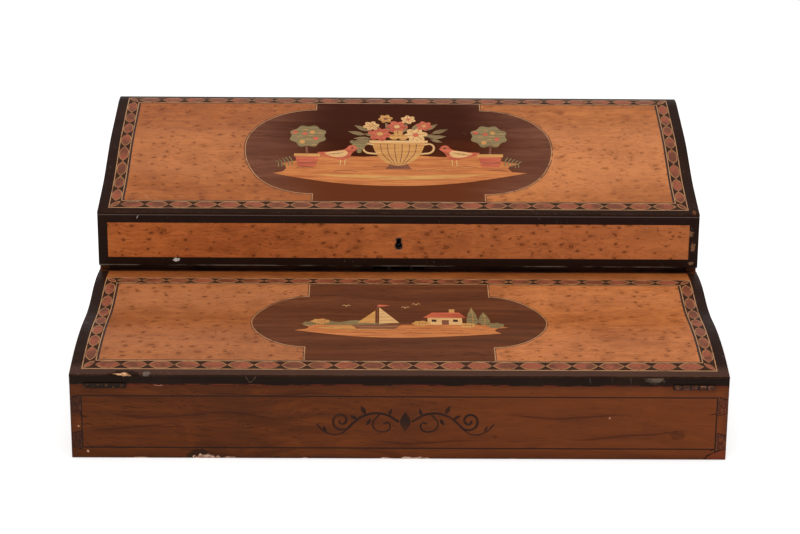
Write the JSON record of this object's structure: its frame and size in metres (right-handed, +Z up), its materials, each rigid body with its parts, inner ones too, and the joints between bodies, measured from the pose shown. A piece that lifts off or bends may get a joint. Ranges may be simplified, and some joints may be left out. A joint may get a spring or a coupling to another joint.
{
  "type": "writing and letter box",
  "caption": "Inlaid wooden letter box with a serpentine front flap that opens into a writing slope and a sloping rear lid over letter slots.",
  "frame": {"origin": "middle of the footprint, on the surface that the box stands on", "axes": "+X across the width to the right seen from the front, +Y from the front to the back, +Z up"},
  "size_m": [0.4, 0.2677, 0.1752],
  "materials": {
    "walnut_front": "french polished",
    "walnut_sides": "french polished",
    "softwood": "bare",
    "dark_banding": "french polished",
    "light_string": "french polished",
    "guilloche": "french polished",
    "maple": "french polished",
    "cartouche_walnut": "french polished",
    "writing_leather": "worn",
    "brass": "aged",
    "iron": "dull"
  },
  "bodies": {
    "root": {"base_back_board": "walnut_sides", "base_bottom_board": "softwood", "base_front_board": "walnut_front", "base_screws": "brass", "base_side_left": "walnut_sides", "base_side_right": "walnut_sides", "bottom_nails": "iron", "compartment_rail": "softwood", "flap_hinge_left_base_leaf": "brass", "flap_hinge_pins": "brass", "flap_hinge_right_base_leaf": "brass", "front_line_inlay": "dark_banding", "letter_divider_front": "softwood", "letter_divider_middle": "softwood", "letter_divider_rear": "softwood", "lid_hinge_left_base_leaf": "brass", "lid_hinge_pins": "brass", "lid_hinge_right_base_leaf": "brass", "link_plate": "brass"},
    "flap": {"flap_cartouche": "cartouche_walnut", "flap_clamp_left": "walnut_sides", "flap_clamp_right": "walnut_sides", "flap_core_board": "softwood", "flap_edge_banding": "dark_banding", "flap_front_lipping": "dark_banding", "flap_guilloche_ground": "guilloche", "flap_hinge_left_flap_leaf": "brass", "flap_hinge_right_flap_leaf": "brass", "flap_inner_dark_line": "dark_banding", "flap_maple_left": "maple", "flap_maple_right": "maple", "flap_rear_strip": "maple", "flap_screws": "brass", "flap_strings": "light_string", "flap_writing_leather": "writing_leather"},
    "lid": {"keyhole_liner": "brass", "lid_back_board": "walnut_sides", "lid_cartouche": "cartouche_walnut", "lid_edge_banding": "dark_banding", "lid_front_banding": "dark_banding", "lid_front_board": "softwood", "lid_front_panel": "maple", "lid_guilloche_ground": "guilloche", "lid_hinge_left_lid_leaf": "brass", "lid_hinge_right_lid_leaf": "brass", "lid_inner_dark_line": "dark_banding", "lid_maple_left": "maple", "lid_maple_right": "maple", "lid_screws": "brass", "lid_side_left": "walnut_sides", "lid_side_right": "walnut_sides", "lid_strings": "light_string", "lid_top_board": "softwood", "lock_cap": "brass", "lock_plate": "brass"},
    "lock_bolt": {"lock_bolt": "brass"}
  },
  "joints": [
    {"name": "flap_hinge", "type": "hinge", "parent": "root", "child": "flap", "pos_m": [0, -0.13354, 0.04689], "axis": [1, 0, 0], "range_deg": [0, 185]},
    {"name": "lid_hinge", "type": "hinge", "parent": "root", "child": "lid", "pos_m": [0, 0.13104, 0.08483], "axis": [-1, 0, 0], "range_deg": [0, 98]},
    {"name": "lock_bolt_slide", "type": "slide", "parent": "lid", "child": "lock_bolt", "axis": [1, 0, 0], "range_m": [0, 0.0028]}
  ]
}
